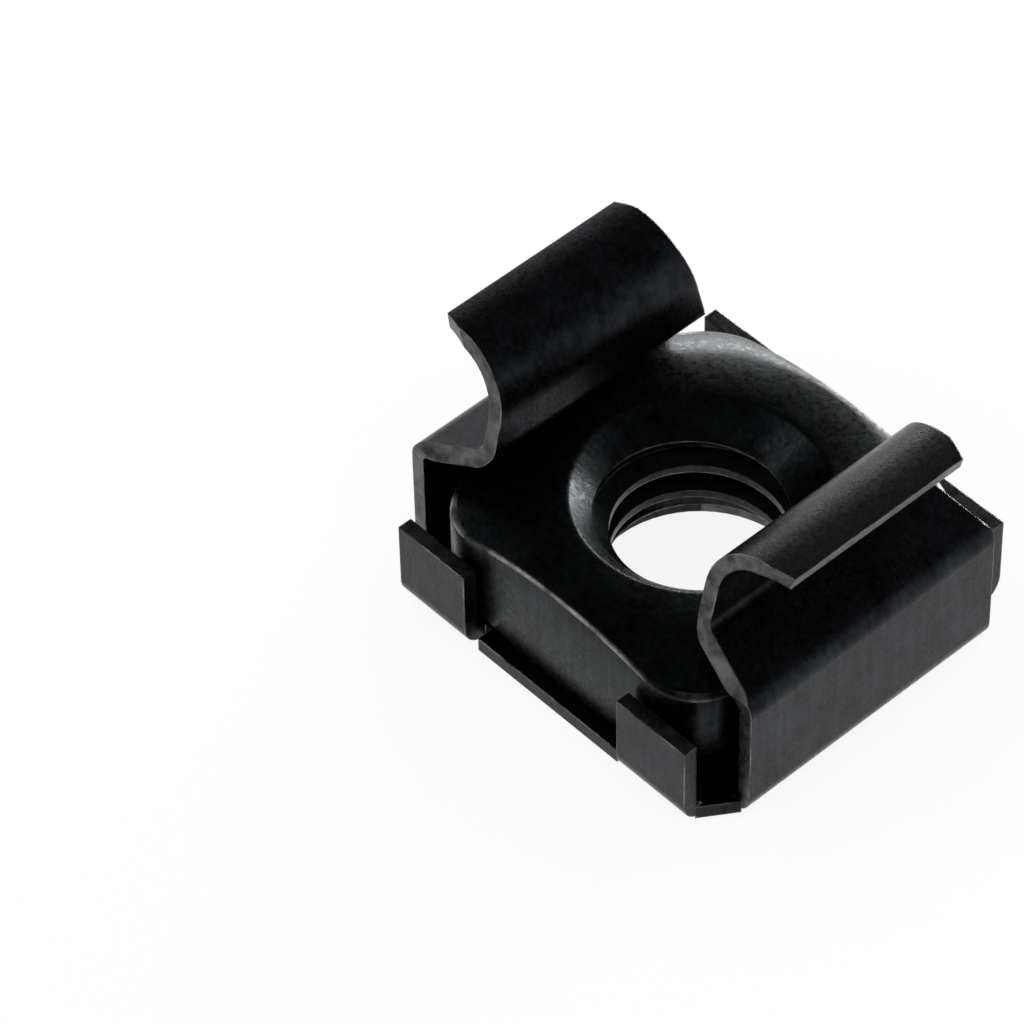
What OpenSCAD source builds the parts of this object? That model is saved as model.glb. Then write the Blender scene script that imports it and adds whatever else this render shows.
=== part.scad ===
// Rack cage nut for 9.5 mm square panel holes, M6 thread.
// Two pieces: a folded spring steel cage and the loose square nut inside it.
// Millimetres. X runs across the two ears, Y along them, Z up.
// The origin is the centre of the base plate, on its underside.

/* [Cage sheet] */
// Thickness of the spring steel sheet.
sheet_t = 0.45; // [0.35:0.05:0.55]
// Inside radius of the sharp folds.
fold_r = 0.3; // [0.2:0.05:0.4]

/* [Cage body] */
// Width of the base over the outer corners of the two walls.
body_w = 13.2; // [12.9:0.05:13.6]
// Length of the two walls along Y.
wall_len = 9.1; // [8.6:0.1:9.6]
// Height of the corner where wall and shoulder meet.
wall_h = 4.5; // [4.3:0.05:5.2]

/* [Ears] */
// Gap between the outward faces of the two ears, measured over the ears.
grip_w = 8.76; // [8.4:0.02:9]
// Height of the foot of the ear, where the panel edge seats.
foot_h = 5.4; // [5.2:0.05:6]
// Height at which the straight part of the ear turns into the hook.
hook_start_h = 6.5; // [6.3:0.05:7.2]
// Outside radius of the rolled hook.
hook_r = 2; // [1.7:0.05:2.1]
// Turn of the hook, from upright to its lip.
hook_turn = 106; // [96:1:118]
// Straight lip at the end of the hook.
lip_len = 0.15; // [0.1:0.05:0.4]
// Length of the ear at its foot.
ear_foot_len = 7.9; // [7.4:0.1:8.2]
// Length of the ear where the hook starts.
ear_mid_len = 7.36; // [7:0.04:7.4]
// Length of the ear over the top of the hook.
ear_top_len = 6.6; // [6:0.1:6.8]
// Length of the lip.
lip_edge_len = 5.9; // [5.4:0.1:6]

/* [Base tabs] */
// Distance over the outer corners of the upturned tabs.
tab_span = 12; // [11.9:0.05:12.4]
// Height of the tabs.
tab_h = 2.9; // [2.2:0.1:3.4]
// Gap between the two tabs on one side.
tab_gap = 6; // [5.6:0.1:7]
// Distance over the outer ends of the two tabs on one side.
tab_reach = 11.2; // [10.8:0.05:11.2]
// Clear hole for the screw in the base plate.
base_hole_d = 6.3; // [6.2:0.05:6.8]

/* [Nut] */
// Width of the square nut across its flats.
nut_w = 10.8; // [10.2:0.1:10.9]
// Thickness of the nut.
nut_t = 3.75; // [3.2:0.05:3.8]
// Radius of the rounded upright corners of the nut.
nut_corner_r = 2; // [1.6:0.1:3]
// Diameter of the plain hole the thread is cut from, the thread crest.
thread_minor_d = 5; // [4.9:0.05:5.1]
// Diameter of the countersink at the top face.
sink_d = 7.2; // [6.4:0.1:7.6]
// Slope of the cones that bevel the corners of the nut.
nut_bevel = 23; // [15:1:30]

/* [Hidden] */
$fn = 96;
fold_out = fold_r + sheet_t;
body_half = body_w / 2;
wall_half = wall_len / 2;
ear_face_x = grip_w / 2;
shoulder_rise = foot_h - wall_h;
shoulder_in = body_half - ear_face_x;
shoulder_slope = atan2(shoulder_rise, shoulder_in);
top_turn = 90 - shoulder_slope;
foot_turn = 90 - shoulder_slope;
top_set = fold_out * tan(top_turn / 2);
foot_set = fold_r * tan(foot_turn / 2);
base_run = body_half - fold_out;
wall_run = wall_h - fold_out - top_set;
shoulder_run = norm([shoulder_in, shoulder_rise]) - top_set - foot_set;
ear_run = hook_start_h - foot_h - foot_set;
ear_top_h = hook_start_h + hook_r;
tab_flat = tab_span / 2 - fold_out;
tab_run = tab_h - fold_out;
tab_in = tab_gap / 2;
tab_out = tab_reach / 2;
tab_slit = 0.25;
lip_out = tab_span / 2 - 0.25;
nut_z = sheet_t;
nut_top = nut_z + nut_t;
nut_half = nut_w / 2;
nut_cone = nut_half - 0.3;
nut_far = nut_half * sqrt(2);
bevel_drop = (nut_far - nut_cone) * tan(nut_bevel);
thread_r = thread_minor_d / 2;
sink_r = sink_d / 2;
entry_r = thread_r + 0.5;

// A straight length of sheet lying on the drawing line, then whatever follows it.
module straight(len) {
    square([len, sheet_t]);
    translate([len, 0]) children();
}

// Slice of a circle between two directions, used to cut a fold from a ring.
module slice(far, from, turn) {
    polygon([
        [0, 0],
        [far * cos(from), far * sin(from)],
        [far * cos(from + turn / 3) * 1.3, far * sin(from + turn / 3) * 1.3],
        [far * cos(from + turn * 2 / 3) * 1.3, far * sin(from + turn * 2 / 3) * 1.3],
        [far * cos(from + turn), far * sin(from + turn)]
    ]);
}

// A fold towards the side the sheet lies on.
module fold_in(inner, turn) {
    translate([0, inner + sheet_t]) {
        intersection() {
            difference() {
                circle(r = inner + sheet_t);
                circle(r = inner);
            }
            slice((inner + sheet_t) * 2, -90, turn);
        }
        rotate(turn) translate([0, -inner - sheet_t]) children();
    }
}

// A fold away from the side the sheet lies on.
module fold_back(inner, turn) {
    translate([0, -inner]) {
        intersection() {
            difference() {
                circle(r = inner + sheet_t);
                circle(r = inner);
            }
            slice((inner + sheet_t) * 2, 90 - turn, turn);
        }
        rotate(-turn) translate([0, inner]) children();
    }
}

// Half of the folded sheet seen from its end: base, wall, shoulder, ear and hook.
module half_profile() {
    straight(base_run)
    fold_in(fold_r, 90)
    straight(wall_run)
    fold_in(fold_r, top_turn)
    straight(shoulder_run)
    fold_back(fold_r, foot_turn)
    straight(ear_run)
    fold_back(hook_r - sheet_t, hook_turn)
    straight(lip_len);
}

// Side outline of wall and ear: full length walls, slanted shoulders, ears that narrow upward.
module side_outline() {
    half = [
        [wall_half, -1],
        [wall_half, wall_h - 0.1],
        [ear_foot_len / 2, foot_h],
        [ear_mid_len / 2, hook_start_h],
        [ear_top_len / 2, ear_top_h],
        [ear_top_len / 2, ear_top_h + 1]
    ];
    polygon(concat(half, [for (i = [len(half) - 1:-1:0]) [-half[i][0], half[i][1]]]));
}

// Sheared corners of one hook: the lip is shorter than the crest.
module lip_trim() {
    far_x = body_half + 2;
    near_x = ear_face_x + 0.9;
    near_y = ear_top_len / 2 + 0.2;
    far_y = lip_edge_len / 2 - 0.5;
    for (side = [-1, 1])
        translate([0, 0, hook_start_h + 0.4])
            linear_extrude(height = hook_r + 1)
                polygon([[near_x, side * near_y], [far_x, side * far_y], [far_x, side * 6], [near_x, side * 6]]);
}

// One side of the folded strip, cut to its outline.
module folded_half() {
    difference() {
        intersection() {
            rotate([90, 0, 0])
                linear_extrude(height = wall_len, center = true)
                    half_profile();
            rotate([90, 0, 90])
                linear_extrude(height = body_half + 2)
                    side_outline();
        }
        lip_trim();
    }
}

// Flat of the base beyond the walls: a lip between the tabs and clipped corners.
module base_flat() {
    linear_extrude(height = sheet_t)
        polygon([
            [0, 0],
            [base_run, 0],
            [base_run, wall_half],
            [body_half - 0.3, wall_half],
            [tab_out, tab_flat + 0.35],
            [tab_out, tab_flat],
            [tab_in - tab_slit, tab_flat],
            [tab_in - tab_slit, lip_out],
            [0, lip_out]
        ]);
}

// One upturned tab, folded from the edge of the base.
module tab() {
    translate([tab_in, 0, 0])
        rotate([90, 0, 90])
            linear_extrude(height = tab_out - tab_in)
                translate([tab_flat - 1, 0])
                    straight(1)
                    fold_in(fold_r, 90)
                    straight(tab_run);
}

module cage() {
    color([0.07, 0.07, 0.08])
        difference() {
            for (x_side = [0, 1]) mirror([x_side, 0, 0]) {
                folded_half();
                for (y_side = [0, 1]) mirror([0, y_side, 0]) {
                    base_flat();
                    tab();
                }
            }
            translate([0, 0, -1]) cylinder(h = sheet_t + 2, d = base_hole_d);
        }
}

// Rounded square seen from above.
module nut_outline() {
    reach = nut_half - nut_corner_r;
    square([nut_w, 2 * reach], center = true);
    square([2 * reach, nut_w], center = true);
    for (x = [-reach, reach], y = [-reach, reach])
        translate([x, y]) circle(r = nut_corner_r);
}

// Turned limits of the nut: bevelled top and bottom corners, both cones about the screw axis.
module nut_turned() {
    rotate_extrude()
        polygon([
            [0, nut_z],
            [nut_cone, nut_z],
            [nut_far, nut_z + bevel_drop],
            [nut_far, nut_top - bevel_drop],
            [nut_cone, nut_top],
            [0, nut_top]
        ]);
}

module square_nut() {
    color([0.06, 0.06, 0.07])
        difference() {
            intersection() {
                translate([0, 0, nut_z]) linear_extrude(height = nut_t) nut_outline();
                nut_turned();
            }
            translate([0, 0, nut_z - 1]) cylinder(h = nut_t + 2, r = thread_r);
            translate([0, 0, nut_top - (sink_r - thread_r)])
                cylinder(h = sink_r - thread_r + 0.001, r1 = thread_r, r2 = sink_r + 0.001);
            translate([0, 0, nut_z - 0.001])
                cylinder(h = entry_r - thread_r + 0.001, r1 = entry_r + 0.001, r2 = thread_r);
        }
}

cage();
square_nut();
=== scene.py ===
# A cage nut for a server rack panel: a folded spring steel cage and the loose square nut inside it.
import math

import bmesh
import bpy
from mathutils import Matrix, Vector


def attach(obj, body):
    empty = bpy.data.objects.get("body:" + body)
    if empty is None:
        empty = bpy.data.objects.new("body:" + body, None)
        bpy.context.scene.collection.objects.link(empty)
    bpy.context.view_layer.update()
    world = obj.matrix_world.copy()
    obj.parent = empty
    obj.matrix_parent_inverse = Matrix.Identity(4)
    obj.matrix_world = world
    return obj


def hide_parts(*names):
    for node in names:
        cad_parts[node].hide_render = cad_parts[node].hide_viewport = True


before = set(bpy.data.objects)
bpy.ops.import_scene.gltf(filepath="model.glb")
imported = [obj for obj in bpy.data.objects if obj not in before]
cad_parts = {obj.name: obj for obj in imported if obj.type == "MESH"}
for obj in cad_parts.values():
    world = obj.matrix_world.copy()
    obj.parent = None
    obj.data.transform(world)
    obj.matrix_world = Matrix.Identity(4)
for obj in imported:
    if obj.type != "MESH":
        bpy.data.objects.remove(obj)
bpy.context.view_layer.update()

scene = bpy.context.scene

# --- Camera ---------------------------------------------------------------------------------------
# A long lens well above the part. It looks down on one corner of the base, with the ears
# standing to the left and to the right of the screw hole.
MM = 0.001
cam_data = bpy.data.cameras.new("camera")
cam_data.sensor_width = 36
cam_data.lens = 202.08
cam_data.shift_x = -0.0010
cam_data.shift_y = 0.0024
cam_data.clip_start = 0.01
cam_data.clip_end = 10
camera = bpy.data.objects.new("camera", cam_data)
scene.collection.objects.link(camera)
cam_place = Vector((75.094, -73.478, 118.209)) * MM
cam_ahead = Vector((-0.50475, 0.44819, -0.73780)).normalized()
cam_up = Vector((0.67839, 0.73449, -0.01793)).cross(cam_ahead).normalized()
cam_right = cam_ahead.cross(cam_up)
camera.matrix_world = Matrix.Translation(cam_place) @ Matrix(
    (cam_right, cam_up, -cam_ahead)).transposed().to_4x4()
scene.camera = camera
scene.view_settings.view_transform = "Standard"

# --- Floor, room and lamps ------------------------------------------------------------------------
# A white table that runs on into a white room. The ceiling is darker than the walls, so the
# steel is black where it mirrors the ceiling and grey where it mirrors the table.
table_half = 1.5
table_glow = 1.08
table_glow_share = 0.82
room_level = 0.7
ceiling_level = 0.1
ceiling_heights = (0.02, 0.6)
lamp_target = Vector((0, 0, 0.004))

floor_mesh = bpy.data.meshes.new("floor")
bm = bmesh.new()
bmesh.ops.create_grid(bm, x_segments=1, y_segments=1, size=table_half)
bm.to_mesh(floor_mesh)
bm.free()
floor = bpy.data.objects.new("floor", floor_mesh)
scene.collection.objects.link(floor)


def feed(tree, value, socket):
    """Links an output into a socket, or sets a constant on it."""
    if isinstance(value, bpy.types.NodeSocket):
        tree.links.new(value, socket)
    else:
        socket.default_value = value


def combine(tree, operation, *values):
    """A Math node over outputs and constants."""
    node = tree.nodes.new("ShaderNodeMath")
    node.operation = operation
    for value, socket in zip(values, node.inputs):
        feed(tree, value, socket)
    return node.outputs[0]


def remap(tree, value, from_range, to_range):
    """A Map Range node fed by an output."""
    node = tree.nodes.new("ShaderNodeMapRange")
    for name, limit in zip(("From Min", "From Max", "To Min", "To Max"), (*from_range, *to_range)):
        node.inputs[name].default_value = limit
    tree.links.new(value, node.inputs["Value"])
    return node.outputs["Result"]


def blend(tree, factor, first, second, data_type="FLOAT"):
    """A Mix node between two values or two colours."""
    node = tree.nodes.new("ShaderNodeMix")
    node.data_type = data_type
    for value, name in ((factor, "Factor"), (first, "A"), (second, "B")):
        feed(tree, value, node.inputs[name])
    return node.outputs["Result"]


table_white = bpy.data.materials.new("table_white")
table_white.use_nodes = True
tree = table_white.node_tree
tree.nodes.clear()
rays = tree.nodes.new("ShaderNodeLightPath")
seen = combine(tree, "MAXIMUM", rays.outputs["Is Camera Ray"], rays.outputs["Is Glossy Ray"])
seen = combine(tree, "MAXIMUM", seen, rays.outputs["Is Transmission Ray"])
paint = tree.nodes.new("ShaderNodeBsdfDiffuse")
paint.inputs["Color"].default_value = (0.8, 0.8, 0.81, 1)
glow = tree.nodes.new("ShaderNodeEmission")
glow.inputs["Color"].default_value = (1, 1, 1, 1)
glow.inputs["Strength"].default_value = table_glow
table_shader = tree.nodes.new("ShaderNodeMixShader")
tree.links.new(combine(tree, "MULTIPLY", seen, table_glow_share), table_shader.inputs[0])
tree.links.new(paint.outputs[0], table_shader.inputs[1])
tree.links.new(glow.outputs[0], table_shader.inputs[2])
out = tree.nodes.new("ShaderNodeOutputMaterial")
tree.links.new(table_shader.outputs[0], out.inputs["Surface"])
floor_mesh.materials.append(table_white)

room = bpy.data.worlds.new("room")
scene.world = room
room.use_nodes = True
tree = room.node_tree
sky = tree.nodes["Background"]
sky.inputs["Color"].default_value = (0.97, 0.98, 1, 1)
direction = tree.nodes.new("ShaderNodeTexCoord")
split = tree.nodes.new("ShaderNodeSeparateXYZ")
tree.links.new(direction.outputs["Generated"], split.inputs[0])
ceiling = remap(tree, split.outputs["Z"], ceiling_heights, (1.0, ceiling_level))
ceiling.node.interpolation_type = "SMOOTHSTEP"
rays = tree.nodes.new("ShaderNodeLightPath")
mirrored = blend(tree, rays.outputs["Is Glossy Ray"], room_level, ceiling)
direct = combine(tree, "MAXIMUM", rays.outputs["Is Camera Ray"], rays.outputs["Is Transmission Ray"])
tree.links.new(blend(tree, direct, mirrored, 1.0), sky.inputs["Strength"])


def add_softbox(name, place, width, height, power):
    """A rectangular lamp that faces the part."""
    lamp_data = bpy.data.lights.new(name, "AREA")
    lamp_data.shape = "RECTANGLE"
    lamp_data.size = width
    lamp_data.size_y = height
    lamp_data.energy = power
    lamp = bpy.data.objects.new(name, lamp_data)
    scene.collection.objects.link(lamp)
    lamp.location = place
    aim = lamp_target - lamp.location
    lamp.rotation_euler = aim.to_track_quat("-Z", "Y").to_euler()


add_softbox("left_softbox", Vector((-0.19, -0.27, 0.17)), 0.14, 0.10, 0.16)
add_softbox("back_softbox", Vector((-0.18, 0.31, 0.04)), 0.30, 0.06, 0.75)
add_softbox("back_strip", Vector((0.02, 0.35, 0.06)), 0.10, 0.07, 0.55)

# --- Black oxide finish ---------------------------------------------------------------------------
# Both pieces are blackened in the same hot salt bath: a thin dark skin that follows the grain
# of the steel, mottled, and rubbed off to grey metal along the edges that get handled.
streak_z_scale = 90
rubbed_edge_r = 0.07 * MM


def object_mm(tree, z_scale=1000):
    """Object coordinates in millimetres. A smaller Z scale draws a pattern out along Z."""
    place = tree.nodes.new("ShaderNodeTexCoord")
    scaled = tree.nodes.new("ShaderNodeMapping")
    scaled.inputs["Scale"].default_value = (1000, 1000, z_scale)
    tree.links.new(place.outputs["Object"], scaled.inputs["Vector"])
    return scaled.outputs["Vector"]


def noise(tree, vector, scale, detail, roughness=0.5):
    """The value of a Noise texture."""
    node = tree.nodes.new("ShaderNodeTexNoise")
    node.inputs["Detail"].default_value = detail
    node.inputs["Roughness"].default_value = roughness
    tree.links.new(vector, node.inputs["Vector"])
    feed(tree, scale, node.inputs["Scale"])
    return node.outputs["Fac"]


def finish_group(name, inputs, outputs):
    """A node group with float inputs. Returns the group, its input node and its output node."""
    group = bpy.data.node_groups.new(name, "ShaderNodeTree")
    for label, default in inputs:
        socket = group.interface.new_socket(label, in_out="INPUT", socket_type="NodeSocketFloat")
        socket.default_value = default
    for label, kind in outputs:
        group.interface.new_socket(label, in_out="OUTPUT", socket_type=kind)
    return group, group.nodes.new("NodeGroupInput"), group.nodes.new("NodeGroupOutput")


oxide_skin, skin_in, skin_out = finish_group(
    "oxide_skin", (("Mottle Scale", 1.1), ("Grain Scale", 11.0), ("Streak Scale", 5.0)),
    [(label, "NodeSocketFloat") for label in ("Mottle", "Grain", "Streak")])
even = object_mm(oxide_skin)
drawn = object_mm(oxide_skin, streak_z_scale)
for label, vector, detail, roughness in (
        ("Mottle", even, 5, 0.6), ("Grain", even, 3, 0.55), ("Streak", drawn, 3, 0.5)):
    pattern = noise(oxide_skin, vector, skin_in.outputs[label + " Scale"], detail, roughness)
    oxide_skin.links.new(pattern, skin_out.inputs[label])

edge_rub, rub_in, rub_out = finish_group(
    "edge_rub", (("Patch Scale", 1.4), ("Patch Level", 0.5)),
    (("Rubbed", "NodeSocketFloat"), ("Rounded Normal", "NodeSocketVector")))
rounding = edge_rub.nodes.new("ShaderNodeBevel")
rounding.samples = 4
rounding.inputs["Radius"].default_value = rubbed_edge_r
surface = edge_rub.nodes.new("ShaderNodeNewGeometry")
facing = edge_rub.nodes.new("ShaderNodeVectorMath")
facing.operation = "DOT_PRODUCT"
edge_rub.links.new(rounding.outputs["Normal"], facing.inputs[0])
edge_rub.links.new(surface.outputs["Normal"], facing.inputs[1])
on_edge = remap(edge_rub, facing.outputs["Value"], (0.985, 0.86), (0.0, 1.0))
patches = noise(edge_rub, object_mm(edge_rub), rub_in.outputs["Patch Scale"], 4)
above = combine(edge_rub, "SUBTRACT", patches, rub_in.outputs["Patch Level"])
in_patch = remap(edge_rub, above, (-0.12, 0.12), (0.08, 1.0))
edge_rub.links.new(combine(edge_rub, "MULTIPLY", on_edge, in_patch), rub_out.inputs["Rubbed"])
edge_rub.links.new(rounding.outputs["Normal"], rub_out.inputs["Rounded Normal"])


def blacken(name, dark, light, bare_colour, patch_level, grain_scale, bump):
    """Black oxide over steel. Returns the material and the socket that more bare metal can feed; the cage
    also feeds a painted highlight there.
    """
    steel = bpy.data.materials.new(name)
    steel.use_nodes = True
    tree = steel.node_tree
    shader = tree.nodes["Principled BSDF"]
    shader.inputs["Metallic"].default_value = 1.0
    skin = tree.nodes.new("ShaderNodeGroup")
    skin.node_tree = oxide_skin
    skin.inputs["Grain Scale"].default_value = grain_scale
    rub = tree.nodes.new("ShaderNodeGroup")
    rub.node_tree = edge_rub
    rub.inputs["Patch Level"].default_value = patch_level
    mottle = combine(tree, "MULTIPLY", skin.outputs["Mottle"], 0.55)
    blotch = combine(tree, "MULTIPLY_ADD", skin.outputs["Streak"], 0.45, mottle)
    tone = remap(tree, blotch, (0.36, 0.64), (0.0, 1.0))
    oxide = blend(tree, tone, dark, light, "RGBA")
    bare = combine(tree, "MAXIMUM", rub.outputs["Rubbed"], 0.0)
    tree.links.new(blend(tree, bare, oxide, bare_colour, "RGBA"), shader.inputs["Base Color"])
    sheen = remap(tree, skin.outputs["Grain"], (0.3, 0.7), (0.24, 0.42))
    tree.links.new(sheen, shader.inputs["Roughness"])
    relief = tree.nodes.new("ShaderNodeBump")
    relief.inputs["Strength"].default_value = bump
    relief.inputs["Distance"].default_value = 0.00002
    tree.links.new(skin.outputs["Grain"], relief.inputs["Height"])
    tree.links.new(rub.outputs["Rounded Normal"], relief.inputs["Normal"])
    tree.links.new(relief.outputs["Normal"], shader.inputs["Normal"])
    return steel, bare.node.inputs[1]


def place_and_normal(tree):
    """The object coordinates of a surface, and the parts of its place and of its normal."""
    place = tree.nodes.new("ShaderNodeTexCoord")
    parts = []
    for label in ("Object", "Normal"):
        split = tree.nodes.new("ShaderNodeSeparateXYZ")
        tree.links.new(place.outputs[label], split.inputs[0])
        parts.append(split.outputs)
    return place.outputs["Object"], *parts


# --- Cage -----------------------------------------------------------------------------------------
# The cage is one strip of spring steel, pierced, sheared and folded: base, two walls, shoulders
# and hooked ears, with four tabs turned up from the base. Its sheared edges stay a lighter grey;
# the crest of its right ear is lightened as a painted highlight.
wall_reach = 5.2 * MM
lip_low = 7.6 * MM
lip_reach = 6.2 * MM
tab_top_low = 2.5 * MM
tab_reach = 5.4 * MM
# The next three numbers place a painted highlight along the top of the right ear's crest.
crest_heights = (8.1 * MM, 8.45 * MM)
crest_highlight_level = 0.13
right_ear_from = (4.2 * MM, 4.8 * MM)

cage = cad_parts["cage"]
cage_steel, cage_bare_and_highlight = blacken(
    "cage_steel", (0.007, 0.0075, 0.009, 1), (0.024, 0.026, 0.029, 1), (0.30, 0.30, 0.29, 1), 0.50, 9.0, 0.25)
tree = cage_steel.node_tree
coords, at, facing = place_and_normal(tree)


def size_test(tree, value, operation, limit):
    """1 where the size of a value is over or under a limit, on either side of the part."""
    return combine(tree, operation, combine(tree, "ABSOLUTE", value), limit)


strip_side = combine(tree, "MULTIPLY", size_test(tree, facing["Y"], "GREATER_THAN", 0.7),
                     size_test(tree, at["Y"], "LESS_THAN", wall_reach))
lip_face = combine(tree, "MULTIPLY", size_test(tree, facing["X"], "GREATER_THAN", 0.8),
                   size_test(tree, at["X"], "GREATER_THAN", lip_reach))
lip_end = combine(tree, "MULTIPLY", size_test(tree, at["Z"], "GREATER_THAN", lip_low), lip_face)
tab_face = combine(tree, "MULTIPLY", size_test(tree, facing["Z"], "GREATER_THAN", 0.8),
                   size_test(tree, at["Y"], "GREATER_THAN", tab_reach))
tab_top = combine(tree, "MULTIPLY", size_test(tree, at["Z"], "GREATER_THAN", tab_top_low), tab_face)
sheared = combine(tree, "MAXIMUM", combine(tree, "MAXIMUM", strip_side, lip_end), tab_top)
torn = remap(tree, noise(tree, coords, 2600, 3), (0.3, 0.7), (0.05, 0.35))
sheared_bare = combine(tree, "MULTIPLY", sheared, torn)
# Painted highlight: a band along the top of the right ear's crest is mixed toward the grey of bare steel. It
# stands in for the bright strip the light lays there, and the left ear is left dark.
crest = remap(tree, at["Z"], crest_heights, (0.0, crest_highlight_level))
right_ear = remap(tree, at["X"], right_ear_from, (0.0, 1.0))
right_crest_highlight = combine(tree, "MULTIPLY", crest, right_ear)
tree.links.new(combine(tree, "MAXIMUM", sheared_bare, right_crest_highlight), cage_bare_and_highlight)
cage.data.materials.clear()
cage.data.materials.append(cage_steel)

# --- Square nut -----------------------------------------------------------------------------------
# The nut is cold formed from bar: a rounded square with bevelled corners, countersunk on top.
# Its M6 coarse thread is tapped, so the groove runs out in the countersink and the bottom bevel.
nut_half = 5.4
nut_corner_r = 2.0
nut_low = 0.45
nut_high = 4.2
flat_r = 5.1
corner_slope = math.tan(math.radians(23))
sink_r = 3.6
crest_r = 2.5
root_r = 3.0
sink_low = nut_high - (sink_r - crest_r)
sink_meets_root = sink_low + root_r - crest_r
pitch = 1.0
turns = 6
turn_steps = 144
edge_round = 0.1
merge_gap = 0.002
scuffs_from_r = 5.9 * MM

bm = bmesh.new()
flank = (root_r - crest_r) * math.tan(math.radians(30))
crest_flat = pitch / 4
root_flat = pitch - crest_flat - 2 * flank
start = nut_low - pitch
groove = [(root_r, start), (root_r, start + root_flat), (crest_r, start + root_flat + flank),
          (crest_r, start + root_flat + flank + crest_flat), (root_r, start + pitch)]
groove_verts = [bm.verts.new((r, 0, z)) for r, z in groove]
groove_edges = [bm.edges.new(pair) for pair in zip(groove_verts, groove_verts[1:])]
bmesh.ops.spin(bm, geom=groove_verts + groove_edges, cent=(0, 0, 0), axis=(0, 0, 1),
               dvec=(0, 0, pitch / turn_steps), angle=math.tau * turns, steps=turn_steps * turns)
for v in bm.verts:
    r = math.hypot(v.co.x, v.co.y)
    height = min(max(v.co.z, nut_low), sink_meets_root)
    open_r = root_r if height != v.co.z else min(
        root_r, max(r, crest_r + height - sink_low, root_r - (height - nut_low)))
    v.co = (v.co.x * open_r / r, v.co.y * open_r / r, height)
bmesh.ops.remove_doubles(bm, verts=bm.verts, dist=merge_gap)
bmesh.ops.dissolve_degenerate(bm, dist=0.0005, edges=bm.edges)


def outline_r(angle):
    """Distance from the screw axis to the side of the rounded square."""
    near, far = sorted((abs(math.cos(angle)), abs(math.sin(angle))))
    reach = nut_half - nut_corner_r
    if nut_half / far * near <= reach:
        return nut_half / far
    along = reach * (near + far)
    return along + math.sqrt(along ** 2 - 2 * reach ** 2 + nut_corner_r ** 2)


def next_ring(edges, radius_at, height_at):
    """Extrudes a ring of edges to a new radius and height, and returns the new ring."""
    made = bmesh.ops.extrude_edge_only(bm, edges=edges)["geom"]
    fresh = {g for g in made if isinstance(g, bmesh.types.BMVert)}
    for v in fresh:
        angle = math.atan2(v.co.y, v.co.x)
        r = radius_at(angle)
        v.co = (r * math.cos(angle), r * math.sin(angle), height_at(r))
    return [g for g in made
            if isinstance(g, bmesh.types.BMEdge) and g.verts[0] in fresh and g.verts[1] in fresh]


ring_verts = bmesh.ops.create_circle(bm, cap_ends=False, segments=turn_steps, radius=root_r)["verts"]
for v in ring_verts:
    v.co.z = sink_meets_root
ring = list({e for v in ring_verts for e in v.link_edges})
sink_edge = next_ring(ring, lambda a: sink_r, lambda r: nut_high)
top_flat = next_ring(sink_edge, lambda a: flat_r, lambda r: nut_high)
top_edge = next_ring(top_flat, outline_r, lambda r: nut_high - (r - flat_r) * corner_slope)
low_edge = next_ring(top_edge, outline_r, lambda r: nut_low + (r - flat_r) * corner_slope)
low_flat = next_ring(low_edge, lambda a: flat_r, lambda r: nut_low)
next_ring(low_flat, lambda a: root_r, lambda r: nut_low)
bmesh.ops.bevel(bm, geom=sink_edge + top_edge + low_edge, offset=edge_round, offset_type="OFFSET",
                segments=3, profile=0.5, affect="EDGES", material=-1, clamp_overlap=True)
bmesh.ops.remove_doubles(bm, verts=bm.verts, dist=merge_gap)
bmesh.ops.recalc_face_normals(bm, faces=bm.faces)
bmesh.ops.scale(bm, vec=(MM, MM, MM), verts=bm.verts)
for face in bm.faces:
    face.smooth = True
nut_mesh = bpy.data.meshes.new("threaded_nut")
bm.to_mesh(nut_mesh)
bm.free()
nut_mesh.set_sharp_from_angle(angle=math.radians(32))
threaded_nut = bpy.data.objects.new("threaded_nut", nut_mesh)
scene.collection.objects.link(threaded_nut)

nut_steel, nut_bare = blacken(
    "nut_steel", (0.007, 0.008, 0.0085, 1), (0.026, 0.029, 0.031, 1), (0.45, 0.45, 0.43, 1), 0.49, 7.0, 0.4)
tree = nut_steel.node_tree
coords, at, facing = place_and_normal(tree)
top_corner = combine(tree, "COMPARE", facing["Z"], 0.6, 0.28)
from_axis = tree.nodes.new("ShaderNodeVectorMath")
from_axis.operation = "LENGTH"
tree.links.new(coords, from_axis.inputs[0])
outer = combine(tree, "GREATER_THAN", from_axis.outputs["Value"], scuffs_from_r)
scuffs = remap(tree, noise(tree, coords, 900, 5), (0.44, 0.68), (0.03, 0.6))
worn_corner = combine(tree, "MULTIPLY", top_corner, outer)
tree.links.new(combine(tree, "MULTIPLY", worn_corner, scuffs), nut_bare)
nut_mesh.materials.append(nut_steel)
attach(threaded_nut, "root")
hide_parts("square_nut")
